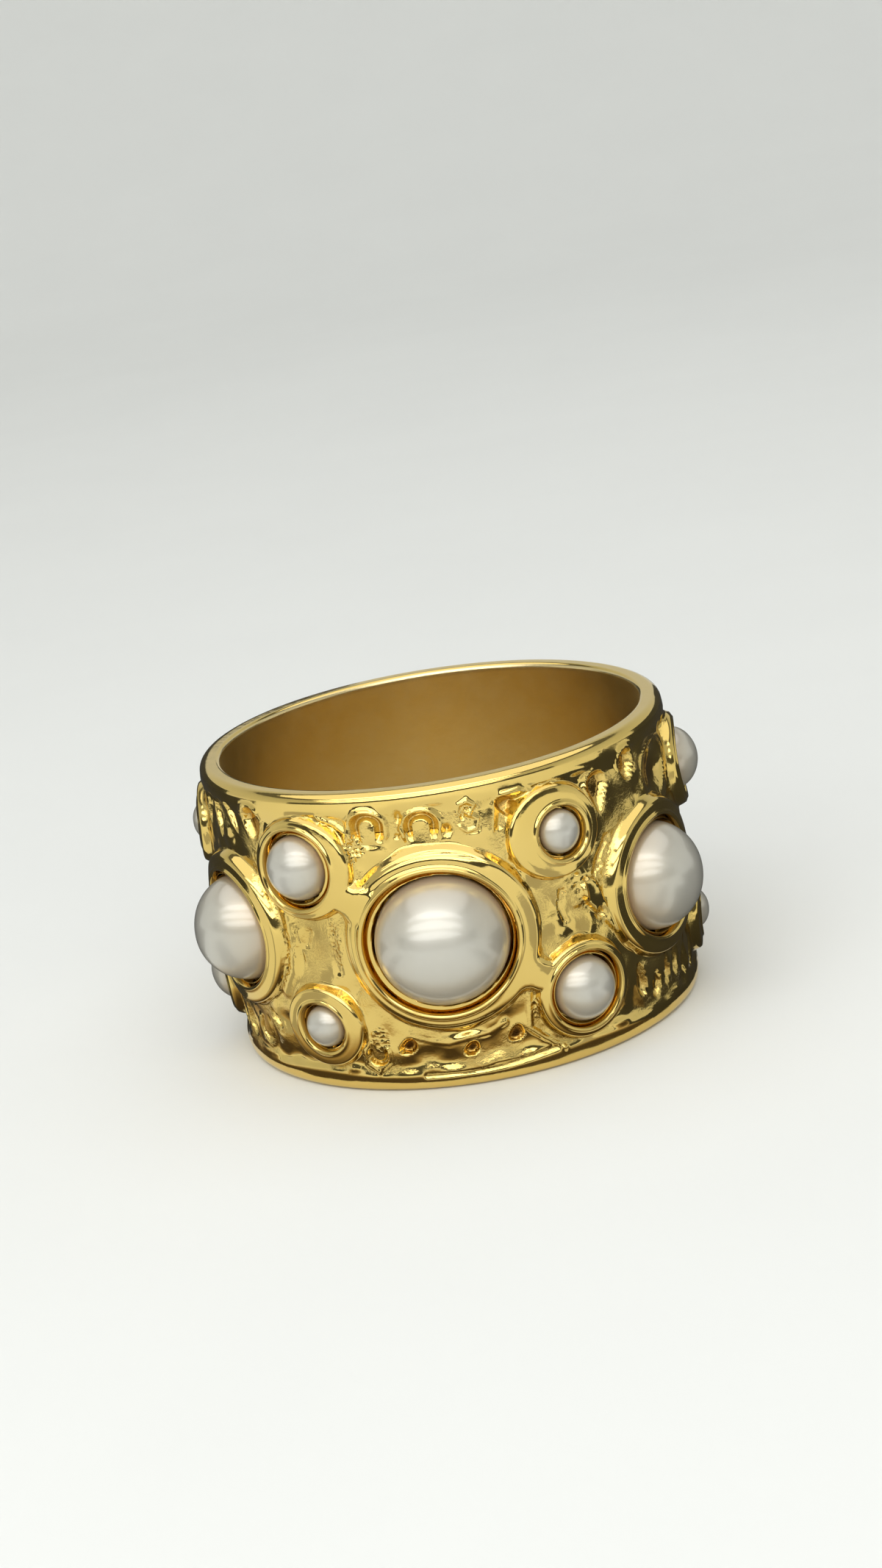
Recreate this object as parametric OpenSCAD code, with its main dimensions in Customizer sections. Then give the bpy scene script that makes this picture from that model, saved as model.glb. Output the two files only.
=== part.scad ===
// Wide cast ring with round cabochon pearls in raised collars.
// The ring's axis is Z, its front faces -Y, and the origin is the middle of the finger hole.
// It rests on the lower edge face of the band.

/* [Finger hole] */
// Inner diameter of the band
bore_d = 18.2; // [16.5:0.1:20.6]
// Rounding where the finger hole meets each edge face
bore_round = 0.2; // [0.1:0.05:0.25]

/* [Band] */
// Width of the band along the finger
band_w = 12.9; // [12.7:0.1:15]
// Wall thickness at the edge faces
rim_wall = 0.9; // [0.85:0.05:1.3]
// How far the outside bulges at mid width, beyond its size at the edges
crown = 0.35; // [0.1:0.05:0.5]
// Width of each raised rim
rim_w = 1.2; // [0.9:0.1:1.4]
// Rounding of the outer corner of each rim
rim_round = 0.4; // [0.2:0.05:0.45]
// Depth of the recessed ground below the rims
ground_drop = 0.2; // [0.1:0.05:0.3]

/* [Scoops] */
// Radius of the round cutter that makes each scoop
scoop_r = 0.8; // [0.6:0.05:1]
// Depth of each scoop below the ground
scoop_depth = 0.25; // [0.15:0.05:0.3]

/* [Collars] */
// Height of the collars' crowned tops above the rims' crowned outside
collar_rise = 0.25; // [0.2:0.05:0.4]
// Slope of a collar's outer wall, as extra radius at its foot
collar_flare = 0.25; // [0.1:0.05:0.4]
// Outer diameter of the front collar
centre_collar_d = 7.7; // [7.2:0.1:8]
// Outer diameter of the two side collars
side_collar_d = 6.5; // [6:0.1:6.8]
// Outer diameter of the collars round the medium pearls
medium_collar_d = 4; // [3.7:0.1:4.2]
// Outer diameter of the collars round the small pearls
small_collar_d = 3.6; // [3:0.1:3.8]
// Width of the webs that join the front collar to the medium ones
web_w = 1.5; // [1:0.1:2]

/* [Pearls] */
// Diameter of the front pearl
centre_pearl_d = 5.5; // [5:0.1:5.8]
// Diameter of the two side pearls
side_pearl_d = 4.6; // [4:0.1:4.9]
// Diameter of the medium pearls
medium_pearl_d = 2.75; // [2.4:0.05:3]
// Diameter of the small pearls
small_pearl_d = 1.8; // [1.6:0.05:2]
// Gap all round each pearl in its seat
seat_gap = 0.2; // [0.1:0.05:0.25]
// Gap under the flat back of each pearl
back_gap = 0.05; // [0.03:0.01:0.1]
// Metal left between the floor of a seat and the finger hole
seat_floor = 0.5; // [0.4:0.05:0.6]

/* [Hidden] */
$fn = 96;

bore_r = bore_d / 2;
rim_r = bore_r + rim_wall;
ground_r = rim_r - ground_drop;
collar_r = rim_r + collar_rise;
floor_r = bore_r + seat_floor;
back_r = floor_r + back_gap;
half_w = band_w / 2;
rim_foot = half_w - rim_w;

// Radius of the long arc that crowns the outside across its width
crown_arc_r = (half_w * half_w + crown * crown) / (2 * crown);
// Distance of a crowned outside from the axis at height z, where it is r at the edges
function crowned(r, z) = r + crown - crown_arc_r + sqrt(crown_arc_r * crown_arc_r - z * z);

// Height of the scoops, just inside the rims
scoop_z = half_w - rim_w - 0.45;
// Distance of a scoop's cutter from the axis
scoop_centre_r = crowned(ground_r, scoop_z) + scoop_r - scoop_depth;
// Angles of the scoops along the upper rim and the lower rim
upper_scoops = [-72, -61, -50, -13, -1, 11, 50, 61, 72];
lower_scoops = [-73, -62, -51, -12, 1, 13, 50, 61, 72];

// How far a pearl's middle lies below the collar tops, and that of a side pearl
pearl_sink = 0.55;
side_pearl_sink = 0.7;

// Columns of the table of seats. An angle is counted from the front towards +X.
NAME = 0;
ANGLE = 1;
HEIGHT = 2;
PEARL_D = 3;
PEARL_SINK = 4;
COLLAR_D = 5;
seats = [
    ["pearl_centre", 0, 0.1, centre_pearl_d, pearl_sink, centre_collar_d],
    ["pearl_right_large", 60, -0.1, side_pearl_d, side_pearl_sink, side_collar_d],
    ["pearl_left_large", -60, 0.1, side_pearl_d, side_pearl_sink, side_collar_d],
    ["pearl_right_low_medium", 31.5, -3.3, medium_pearl_d, pearl_sink, medium_collar_d],
    ["pearl_left_high_medium", -33, 3.4, medium_pearl_d, pearl_sink, medium_collar_d],
    ["pearl_right_high_small", 31, 3.5, small_pearl_d, pearl_sink, small_collar_d],
    ["pearl_left_low_small", -32.5, -3.5, small_pearl_d, pearl_sink, small_collar_d],
    ["pearl_side_right_high_medium", 90, 3.4, medium_pearl_d, pearl_sink, medium_collar_d],
    ["pearl_side_left_low_medium", -90, -3.4, medium_pearl_d, pearl_sink, medium_collar_d],
    ["pearl_side_right_low_small", 90, -3.5, small_pearl_d, pearl_sink, small_collar_d],
    ["pearl_side_left_high_small", -90, 3.5, small_pearl_d, pearl_sink, small_collar_d]
];
front_seat = seats[0];
webbed_seats = [seats[3], seats[4]];

// Puts its children on the axis of a seat, with +Z pointing out of the ring
module at_seat(angle, height) {
    rotate([0, 0, angle]) translate([0, 0, height]) rotate([90, 0, 0]) children();
}

// What lies inside a crowned outside of edge radius r, between two heights
module crowned_strip(r, low, high) {
    intersection() {
        translate([bore_r, low]) square([r + crown - bore_r, high - low]);
        translate([r + crown - crown_arc_r, 0]) circle(crown_arc_r, $fn = 1440);
    }
}

// The upper rim's section, with a round outer corner and an eased inner one
module rim_section() {
    corner_z = half_w - rim_round;
    corner_r = crowned(rim_r, corner_z) - rim_round;
    crowned_strip(rim_r, rim_foot, corner_z);
    translate([bore_r + bore_round, rim_foot]) square([corner_r - bore_r - bore_round, rim_w]);
    translate([corner_r, corner_z]) circle(rim_round);
    translate([bore_r, rim_foot]) square([bore_round, rim_w - bore_round]);
    translate([bore_r + bore_round, half_w - bore_round]) circle(bore_round);
}

module hoop() {
    rotate_extrude() {
        crowned_strip(ground_r, -rim_foot, rim_foot);
        rim_section();
        mirror([0, 1]) rim_section();
    }
}

// A collar's tapered post, from inside the wall to beyond the collar's top
module collar_post(collar_d) {
    post_foot = floor_r - 0.3;
    post_top = collar_r + crown + 1;
    slope = collar_flare / (collar_r - ground_r);
    translate([0, 0, post_foot])
        cylinder(
            h = post_top - post_foot,
            r1 = collar_d / 2 + slope * (collar_r - post_foot),
            r2 = collar_d / 2 - slope * (post_top - collar_r)
        );
}

// A web runs from the front seat towards a neighbour's, level with the collar tops
module web(seat) {
    mid_angle = (front_seat[ANGLE] + seat[ANGLE]) / 2;
    mid_height = (front_seat[HEIGHT] + seat[HEIGHT]) / 2;
    run = (seat[ANGLE] - front_seat[ANGLE]) * PI / 180 * collar_r;
    rise = seat[HEIGHT] - front_seat[HEIGHT];
    web_len = 2.4;
    at_seat(mid_angle, mid_height)
        rotate([0, 0, atan2(rise, run)])
            translate([-web_len / 2, -web_w / 2, floor_r])
                cube([web_len, web_w, 2]);
}

// All collars and webs, with tops that follow the round of the band
module collars() {
    intersection() {
        union() {
            for (seat = seats) at_seat(seat[ANGLE], seat[HEIGHT]) collar_post(seat[COLLAR_D]);
            for (seat = webbed_seats) web(seat);
        }
        rotate_extrude() crowned_strip(collar_r, -half_w, half_w);
    }
}

// The blind round holes that the pearls sit in
module seat_holes() {
    for (seat = seats)
        at_seat(seat[ANGLE], seat[HEIGHT])
            translate([0, 0, floor_r]) cylinder(h = 4, d = seat[PEARL_D] + 2 * seat_gap);
}

module scoops() {
    for (angle = upper_scoops) at_seat(angle, scoop_z) translate([0, 0, scoop_centre_r]) sphere(scoop_r);
    for (angle = lower_scoops) at_seat(angle, -scoop_z) translate([0, 0, scoop_centre_r]) sphere(scoop_r);
}

module band() {
    color("#d4ac4e") difference() {
        union() {
            hoop();
            collars();
        }
        seat_holes();
        scoops();
        // The posts reach into the wall, so the finger hole is cut last
        cylinder(h = band_w * 2, r = bore_r, center = true);
    }
}

// A round pearl with a flat back
module pearl(seat) {
    color("#ece6dc") at_seat(seat[ANGLE], seat[HEIGHT]) intersection() {
        translate([0, 0, crowned(collar_r, seat[HEIGHT]) - seat[PEARL_SINK]]) sphere(d = seat[PEARL_D]);
        translate([0, 0, back_r]) cylinder(h = seat[PEARL_D] * 2, d = seat[PEARL_D] * 2);
    }
}

band();
for (seat = seats) pearl(seat);
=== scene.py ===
# A wide gold ring with round pearls in raised collars, built round its CAD frame and lit on a pale floor.
# Shapes are worked out in millimetres, and turned into metres when a mesh is made.
# The ring's axis is Z and its front faces -Y. An angle is counted from the front towards +X.

import math
from collections import namedtuple

import bpy
import numpy as np
from mathutils import Matrix, Vector
from mathutils.geometry import delaunay_2d_cdt


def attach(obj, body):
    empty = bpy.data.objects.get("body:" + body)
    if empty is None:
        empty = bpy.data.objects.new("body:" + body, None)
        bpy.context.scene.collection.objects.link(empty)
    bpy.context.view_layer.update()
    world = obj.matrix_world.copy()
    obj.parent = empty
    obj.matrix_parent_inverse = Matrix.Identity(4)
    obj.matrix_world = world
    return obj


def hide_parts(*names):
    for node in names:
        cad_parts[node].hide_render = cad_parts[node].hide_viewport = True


MM = 0.001
# Keeps divisions away from zero
TINY = 1e-6

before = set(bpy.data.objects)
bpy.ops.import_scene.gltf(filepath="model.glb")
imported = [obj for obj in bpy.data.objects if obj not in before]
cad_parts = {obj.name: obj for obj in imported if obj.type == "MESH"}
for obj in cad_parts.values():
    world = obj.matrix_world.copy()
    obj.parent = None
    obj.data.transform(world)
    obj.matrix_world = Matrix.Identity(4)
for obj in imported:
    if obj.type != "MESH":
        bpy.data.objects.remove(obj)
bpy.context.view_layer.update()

# Band: sizes shared with the CAD model
BORE_R = 9.1
BORE_ROUND = 0.2
HALF_W = 6.45
RIM_R = 10.0
RIM_ROUND = 0.4
CROWN = 0.35
CROWN_ARC_R = (HALF_W**2 + CROWN**2) / (2 * CROWN)
GROUND_R = 9.8
COLLAR_R = 10.25
SEAT_FLOOR_R = 9.6
PEARL_BACK_R = 9.65

# The outside is drawn on a flat plan first: u runs round the band at this distance, and z along the axis
PLAN_R = 10.2
PLAN_END = math.pi * PLAN_R

# Each seat: place; pearl width round the band and height along it; dome height above the pearl's middle;
# how far that middle lies below the collar top; gap round the pearl; collar width and height; width of the
# collar's section as a share of the front one's; offset of the hole; and offset of the collar
Seat = namedtuple(
    "Seat",
    "name angle z pearl_w pearl_h dome sink gap collar_w collar_h section gap_u gap_z off_u off_z",
    defaults=[0, 0, 0, 0],
)
SEATS = [
    Seat("pearl_centre", 0, 0.1, 5.53, 5.4, 2.6, 0.55, 0.36, 7.8, 7.6, 1.0, gap_u=-0.1, gap_z=-0.08),
    Seat("pearl_right_large", 60, -0.1, 4.6, 4.6, 2.2, 0.7, 0.26, 6.5, 6.5, 0.85),
    Seat("pearl_left_large", -60, 0.1, 4.6, 4.6, 2.2, 0.7, 0.26, 6.5, 6.5, 0.85),
    Seat("pearl_right_low_medium", 31.5, -3.3, 2.72, 2.78, 1.2, 0.45, 0.28, 4.1, 4.15, 0.6),
    Seat(
        "pearl_left_high_medium", -33, 3.4, 2.75, 2.75, 1.2, 0.45, 0.3, 4.6, 4.2, 0.65, gap_u=0.08, off_u=0.25
    ),
    Seat(
        "pearl_right_high_small", 31, 3.5, 1.8, 1.85, 0.7, 0.35, 0.2, 4.0, 3.8, 0.6, off_u=-0.25, off_z=0.1
    ),
    Seat("pearl_left_low_small", -32.5, -3.5, 1.8, 1.8, 0.7, 0.35, 0.2, 3.65, 3.5, 0.6, gap_u=0.02),
    Seat("pearl_side_right_high_medium", 90, 3.4, 2.75, 2.75, 1.2, 0.45, 0.28, 4.0, 4.0, 0.6),
    Seat("pearl_side_left_low_medium", -90, -3.4, 2.75, 2.75, 1.2, 0.45, 0.28, 4.0, 4.0, 0.6),
    Seat("pearl_side_right_low_small", 90, -3.5, 1.8, 1.8, 0.7, 0.35, 0.2, 3.6, 3.5, 0.6),
    Seat("pearl_side_left_high_small", -90, 3.5, 1.8, 1.8, 0.7, 0.35, 0.2, 3.6, 3.5, 0.6),
]
# Below its middle a pearl's side follows an oval this many times as deep as the pearl reaches there
UNDER_OVAL = 2.2
UNDER_STEPS = 6
# Rings of its flat back lie this far in from the edge, as shares of the half width, and another half way in
BACK_STEPS = (0.02, 0.06)
# Its mesh has this many columns and rows, and this many more for each millimetre of its width
PEARL_COLUMNS = 24
PEARL_ROWS = 12
COLUMNS_BY_WIDTH = 14
ROWS_BY_WIDTH = 5
PEARL_SEED = 100
# How far a pearl's outline strays from its oval, in two waves and in three, and how far its dome ripples
OVAL_WOBBLE = 0.004
CORNER_WOBBLE = 0.003
DOME_RIPPLE = 0.003

FRONT = SEATS[0]
# Webs join the front collar to these two neighbours
WEBBED = [SEATS[3], SEATS[4]]
WEB_HALF_W = 0.6
WEB_BLEND = 0.4

# Section of the front collar: distance inwards from its outer edge, and height below its top. A wall rises
# to a narrow shoulder, and a short step and a slope lead from there to the flat top
SECTION_AT = [-0.5, -0.26, 0.0, 0.11, 0.17, 0.5]
SECTION_DROP = [0.75, 0.5, 0.2, 0.17, 0.11, 0.0]
# The section's corners are rounded by averaging it over these multiples of a small distance
SECTION_ROUND = 0.025
SECTION_SHIFTS = (-1.5, -0.5, 0.5, 1.5)
# The other collars are nearly flat on top, and so is the front one at the webs and on its side towards +X.
# There it turns flat from this share of the way round to that side, over the second share
FLAT_DROP = [0.75, 0.5, 0.09, 0.03, 0.02, 0.0]
FLAT_FROM = 0.3
FLAT_FADE = 0.4
# Rounding where collars meet each other, and where they meet the ground
COLLAR_JOIN_ROUND = 0.05
COLLAR_FOOT_ROUND = 0.04
# Lip round each pearl, measured outwards from the edge of its hole
LIP_RISE = 0.06
LIP_AT = 0.1
LIP_W = 0.075
HOLE_WALL_W = 0.12
# Dished line in the collar's top, outside the lip
DISH_DEPTH = 0.06
DISH_AT = 0.3
DISH_W = 0.12
# At the foot of the hole's wall lies a groove, this far below the collar top
GROOVE_DROP = 0.38
# Inside the groove a bezel rises by this much. Its slope starts and spreads at these shares of the gap
BEZEL_RISE = 0.22
BEZEL_FROM = 0.32
BEZEL_SLOPE = 0.2
# The bezel ends in a steep edge, this far from the pearl's outline and this wide
BEZEL_CLEAR = 0.06
BEZEL_EDGE_W = 0.03
# Greatest turn from a seat's middle, in radians, at which its floor is worked out
FLOOR_TURN = 0.5
# Reach over which the outside's slope is measured
NORMAL_STEP = 0.025

# Ramp from the recessed ground up to each rim, and the rounding at its foot and head
RAMP_FOOT_Z = 5.25
RAMP_W = 0.5
RAMP_ROUND = 0.05
# The ramp's foot wanders in waves: size, number round the band, phase and slant
RAMP_WANDER = [(0.06, 5, 1.3, 0.0), (0.05, 11, 0.0, 0.2)]
# Marks and waves fade out over this width before this height, which leaves the rims calm
CALM_Z = 6.05
CALM_FADE = 0.3
# Waves of the ground fade over this height, which ends this far below the rims
GROUND_FADE = 0.12
GROUND_TOP_CLEAR = 0.02

# Thumb-pressed hollows along both rims: angle and height of the middle; half width; reach towards the rim
# and away from it; how far the inner end narrows; depth; share of it that the wall takes; height of the lip
# pushed up round it; sideways lean; and the share that stays as a core, which makes it a horseshoe
Hollow = namedtuple("Hollow", "angle z half_w up down point depth wall lip lean core", defaults=[0, 0])
HOLLOWS = [
    Hollow(-13.6, 5.0, 0.8, 0.72, 0.66, 0.1, 0.24, 0.35, 0.14, core=0.36),
    Hollow(-0.8, 4.86, 0.8, 0.68, 0.55, 0.1, 0.24, 0.35, 0.14, core=0.36),
    Hollow(19.4, 5.15, 0.5, 0.42, 0.85, 0.3, 0.2, 0.4, 0.0, lean=-0.4),
    Hollow(44.3, 4.75, 0.66, 0.66, 1.3, 0.7, 0.26, 0.6, 0.04, lean=0.1),
    Hollow(55.3, 5.12, 0.58, 0.68, 0.85, 0.3, 0.28, 0.5, 0.08),
    Hollow(68.5, 4.1, 1.4, 1.25, 1.5, 0.3, 0.24, 0.9, 0.07, lean=0.2),
    Hollow(81, 5.3, 0.5, 0.5, 0.7, 0.3, 0.18, 0.6, 0.03),
    Hollow(-47.2, 5.15, 0.64, 0.72, 1.0, 0.4, 0.3, 0.5, 0.08),
    Hollow(-56.4, 5.2, 0.32, 0.6, 0.9, 0.5, 0.2, 0.6, 0.02, lean=-0.5),
    Hollow(-64, 4.95, 0.42, 0.7, 1.0, 0.4, 0.2, 0.6, 0.03, lean=-0.3),
    Hollow(-73, 4.95, 0.55, 0.7, 1.1, 0.4, 0.22, 0.6, 0.03),
    Hollow(-12.4, -4.5, 0.46, 0.34, 0.5, 0.2, 0.5, 0.9, 0.0, lean=-0.4),
    Hollow(2.7, -4.85, 0.42, 0.3, 0.42, 0.2, 0.45, 0.9, 0.0, lean=-0.3),
    Hollow(13.6, -4.6, 0.48, 0.34, 0.6, 0.2, 0.5, 0.9, 0.0, lean=-0.2),
    Hollow(-20.2, -4.85, 0.52, 0.44, 0.4, 0.0, 0.22, 0.35, 0.07, core=0.45),
    Hollow(49.4, -4.1, 0.32, 0.9, 0.9, 0.4, 0.2, 0.6, 0.03, lean=0.1),
    Hollow(55.4, -4.65, 0.42, 0.7, 0.7, 0.3, 0.22, 0.5, 0.04, lean=-0.1),
    Hollow(60.3, -4.35, 0.3, 0.9, 0.9, 0.4, 0.18, 0.6, 0.02),
    Hollow(65.2, -4.15, 0.36, 0.95, 0.95, 0.4, 0.22, 0.6, 0.03, lean=0.05),
    Hollow(71.2, -4.6, 0.34, 0.8, 0.9, 0.4, 0.2, 0.6, 0.02, lean=0.1),
    Hollow(77.4, -4.6, 0.4, 0.9, 0.9, 0.4, 0.22, 0.6, 0.03, lean=0.1),
    Hollow(-50.8, -3.75, 0.36, 0.5, 0.55, 0.2, 0.2, 0.6, 0.04, lean=0.4),
    Hollow(-57.5, -4.5, 0.62, 0.7, 0.8, 0.1, 0.24, 0.4, 0.04, core=0.45),
    Hollow(-67.5, -4.6, 0.5, 0.7, 0.9, 0.3, 0.2, 0.6, 0.03, lean=0.2),
    Hollow(-76, -4.7, 0.5, 0.7, 0.9, 0.3, 0.2, 0.6, 0.03, lean=0.2),
]

# Half width of the pushed-up lips, and the slope round a core as a share of the hollow's half width
PUSHED_W = 0.13
CORE_SLOPE = 0.3
# A horseshoe's arms fade over this share of their length
ARM_FADE = 0.6

# Drawn lines in the ground: rise (negative for a groove), half width, and places as (angle, height)
Line = namedtuple("Line", "rise half_w places")
LINES = [
    Line(0.1, 0.13, [(26.8, 5.3), (23, 5.6), (18.6, 5.58), (16.4, 5.2), (15.2, 4.2)]),
    Line(-0.07, 0.12, [(24, 5.1), (19.8, 5.2), (18.2, 5.0), (17.0, 4.3)]),
    Line(0.14, 0.13, [(7.8, 5.2), (8.4, 5.5), (10.4, 5.62), (12, 5.4), (10.4, 5.08)]),
    Line(0.13, 0.13, [(10.4, 5.08), (12.4, 4.85), (11.8, 4.45), (9.6, 4.4), (8.2, 4.62)]),
    Line(-0.07, 0.1, [(9, 5.0), (10.2, 5.25)]),
    Line(0.1, 0.12, [(-25.4, 5.5), (-21.4, 5.2), (-18.9, 4.85), (-19.8, 3.9)]),
    Line(-0.07, 0.12, [(-24, 5.15), (-21.4, 4.85), (-20.8, 4.3)]),
    Line(0.07, 0.17, [(-11, -4.0), (-7, -4.25), (-2.5, -4.45), (2, -4.3), (7, -4.2), (11, -3.9)]),
    Line(-0.07, 0.1, [(-9, -5.78), (2, -5.8), (10, -5.74), (23.5, -5.5)]),
    Line(
        0.08,
        0.12,
        [(-17.4, -4.5), (-17.6, -5.1), (-20.4, -5.5), (-23.6, -5.2), (-23.4, -4.6), (-21.4, -4.2)],
    ),
    Line(0.1, 0.12, [(17.8, -2.9), (16.9, -4.4), (20.2, -5.0), (24.6, -5.6)]),
    Line(-0.12, 0.13, [(29.4, 1.0), (28.2, 0.4), (29.4, -0.3)]),
    Line(0.15, 0.32, [(-38.5, 1.3), (-37.8, 0.2), (-39.6, -1.2), (-43.6, -2.2)]),
    Line(-0.08, 0.14, [(-33.0, 0.6), (-34.6, 0.0)]),
    Line(-0.16, 0.18, [(44.6, 2.5), (41.6, 1.9), (39.3, 1.2)]),
    Line(-0.08, 0.2, [(-26.2, 0.8), (-27, -0.2), (-26.4, -1.1)]),
]

# Flat-topped tongues in the ground: (angle, height) of root and tip; half width at the root; rise; and
# width of the sloping edge
Tongue = namedtuple("Tongue", "root tip half_w rise edge")
TONGUES = [
    Tongue((36.4, 0.75), (44.6, -2.0), 0.46, 0.18, 0.16),
    Tongue((34.2, 1.35), (35.2, 0.3), 0.2, 0.14, 0.14),
]

# Dents and swells in the ground: angle, height, half width round the band, half height, depth, lean
Dent = namedtuple("Dent", "angle z half_u half_z depth lean", defaults=[0])
DENTS = [
    Dent(5, 4.6, 0.18, 0.18, 0.24),
    Dent(-6.7, 4.55, 0.15, 0.15, 0.16),
    Dent(-5.8, 5.35, 0.16, 0.3, 0.16),
    Dent(-14.3, 4.3, 0.4, 0.12, 0.06),
    Dent(39, -0.45, 0.22, 0.3, 0.2),
    Dent(33.6, 0.6, 0.5, 0.4, -0.12),
    Dent(32, -0.9, 0.6, 0.6, 0.16),
    Dent(-41.2, -0.45, 0.16, 0.2, 0.12),
    Dent(-31, -0.2, 0.8, 0.9, 0.16),
    Dent(-8.2, -4.9, 0.5, 0.3, 0.05),
    Dent(8, -4.9, 0.6, 0.3, 0.05),
    Dent(20, -4.0, 0.3, 0.4, 0.07),
    Dent(-17, 4.2, 0.35, 0.3, 0.06),
]

# Pebbled patches of the ground: angle, height, half width round the band, half height, lean
Patch = namedtuple("Patch", "angle z half_u half_z lean", defaults=[0])
PATCHES = [
    Patch(-26, 0.2, 0.45, 1.3),
    Patch(-41, -0.5, 0.75, 1.9, 0.45),
    Patch(42, 1.8, 0.5, 1.2, 0.6),
    Patch(-17.4, 4.2, 0.7, 0.7),
    Patch(-18.8, -4.1, 0.5, 0.7),
    Patch(19.5, -3.6, 0.4, 0.6),
    Patch(-46.5, 3.2, 0.5, 1.0),
    Patch(36, 0.4, 0.9, 0.6),
]
# The patches fade over this share of their half size
PATCH_FADE = 0.4

# Finish of the casting: soft waves all over, and deeper ones in the recessed ground
WAVE_SEED = 5
SKIN_WAVE = 0.005
GROUND_WAVE = 0.006
# Beyond this angle the band's back is plain, and before it the work fades over the second angle, in radians
WORKED_END = 1.8
WORKED_FADE = 0.25
# Share of the soft waves that the plain back keeps
BACK_WAVE_SHARE = 0.2
# Hammer marks in the ground: size of the cell that holds one; its radius and its greatest depth; and the
# margin and the span, as shares of the cell, within which its middle lies
HAMMER_CELL = 0.85
HAMMER_R = 0.45
HAMMER_DEPTH = 0.11
HAMMER_MARGIN = 0.2
HAMMER_SPAN = 0.6
# Numbers without a pattern, which scatter the marks
SCATTER_STEPS = (12.9898, 78.233, 37.719)
SCATTER_SIZE = 43758.5453
# Hammer marks fade where the drawn relief is stronger than this
DRAWN_KEEP = 0.03

# The mask of the worked ground fades out below this height over the ground, and ends this far along the axis
MASK_TOP = 0.17
MASK_TOP_FADE = 0.1
MASK_END_Z = 5.9
# Shade is painted into the gold in hollows deeper than this, and is darkest when they are deeper by the
# second value
DARK_FROM = 0.08
DARK_SPAN = 0.4
# How strong the painted shade is in the grooves round the pearls, as a share of the darkest; where that
# starts, inwards from the hole's edge; and where it ends, as a share of the gap
GAP_SHADE = 0.36
GAP_DARK_FROM = 0.03
GAP_DARK_FADE = 0.05
GAP_DARK_END = 0.5
GAP_DARK_END_FADE = 0.15


def smooth(t):
    """Eased step from 0 to 1 while t runs from 0 to 1."""
    t = np.clip(t, 0, 1)
    return t * t * (3 - 2 * t)


def soft_max(a, b, k):
    """The larger of a and b, with the corner between them rounded over k."""
    h = np.maximum(k - np.abs(a - b), 0) / k
    return np.maximum(a, b) + h * h * k / 4


def soft_min(a, b, k):
    """The smaller of a and b, with the corner between them rounded over k."""
    return -soft_max(-a, -b, k)


def plan_u(angle):
    """Place on the plan of an angle in degrees."""
    return math.radians(angle) * PLAN_R


def crown(z):
    """How far the band's round cross-section stands out at height z."""
    return CROWN - CROWN_ARC_R + np.sqrt(CROWN_ARC_R**2 - z * z)


def oval_outside(du, dz, half_w, half_h):
    """Distance outwards from an oval's edge, negative inside it."""
    far = np.hypot(du, dz) + TINY
    share = np.hypot(du / half_w, dz / half_h) + TINY / half_w
    return far - far / share


def collar_inside(seat, u, z):
    """Distance inwards from a collar's outer edge, negative outside it."""
    du = u - plan_u(seat.angle) - seat.off_u
    dz = z - seat.z - seat.off_z
    return -oval_outside(du, dz, seat.collar_w / 2, seat.collar_h / 2)


def flat_share(seat, u, z):
    """1 where a collar's top is flat, and 0 where it is stepped."""
    if seat is not FRONT:
        return 1.0
    du = u - plan_u(seat.angle)
    side = du / (np.hypot(du, z - seat.z) + TINY)
    flat = smooth((side - FLAT_FROM) / FLAT_FADE)
    for webbed in WEBBED:
        flat = np.maximum(flat, smooth(web_inside(webbed, u, z) / WEB_BLEND + 1))
    return flat


def collar_drop(reach, flat):
    """How far a collar's section lies below its top, with rounded corners."""
    total = 0
    for shift in SECTION_SHIFTS:
        at = reach + shift * SECTION_ROUND
        stepped = np.interp(at, SECTION_AT, SECTION_DROP)
        total = total + stepped + flat * (np.interp(at, SECTION_AT, FLAT_DROP) - stepped)
    return total / len(SECTION_SHIFTS)


def web_inside(seat, u, z):
    """Distance inwards from the edge of the web between the front collar and a seat."""
    start = np.array([plan_u(FRONT.angle), FRONT.z])
    end = np.array([plan_u(seat.angle), seat.z])
    length = np.linalg.norm(end - start)
    along = (end - start) / length
    from_start = np.stack([u - start[0], z - start[1]], -1)
    reach = np.clip(from_start @ along, 0, length)
    off = from_start - reach[..., None] * along
    return WEB_HALF_W - np.hypot(off[..., 0], off[..., 1])


def hole_outside(seat, u, z):
    """Distance outwards from the edge of a seat's hole, negative inside it."""
    du = u - plan_u(seat.angle) - seat.gap_u
    dz = z - seat.z - seat.gap_z
    return oval_outside(du, dz, seat.pearl_w / 2 + seat.gap, seat.pearl_h / 2 + seat.gap)


def pearl_outside(seat, u, z):
    """Distance outwards from a pearl's outline, negative inside it."""
    return oval_outside(u - plan_u(seat.angle), z - seat.z, seat.pearl_w / 2, seat.pearl_h / 2)


def waves(count, shortest, longest, seed):
    """Random plane waves that close up round the band: turns, pitch along z, phase."""
    rng = np.random.default_rng(seed)
    length = np.exp(rng.uniform(math.log(shortest), math.log(longest), count))
    heading = rng.uniform(0, math.pi, count)
    turns = np.round(2 * math.pi / length * np.cos(heading) * PLAN_R)
    pitch = 2 * math.pi / length * np.sin(heading)
    return list(zip(turns, pitch, rng.uniform(0, 2 * math.pi, count)))


SKIN_WAVES = waves(count=14, shortest=1.4, longest=5.0, seed=WAVE_SEED)
GROUND_WAVES = waves(count=18, shortest=0.9, longest=2.4, seed=WAVE_SEED + 1)


def wave_field(kind, u, z):
    """Sum of a set of waves, about 1 high whatever their number."""
    total = np.zeros_like(u)
    for turns, pitch, phase in kind:
        total += np.sin(turns * u / PLAN_R + pitch * z + phase)
    return total / math.sqrt(len(kind))


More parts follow.
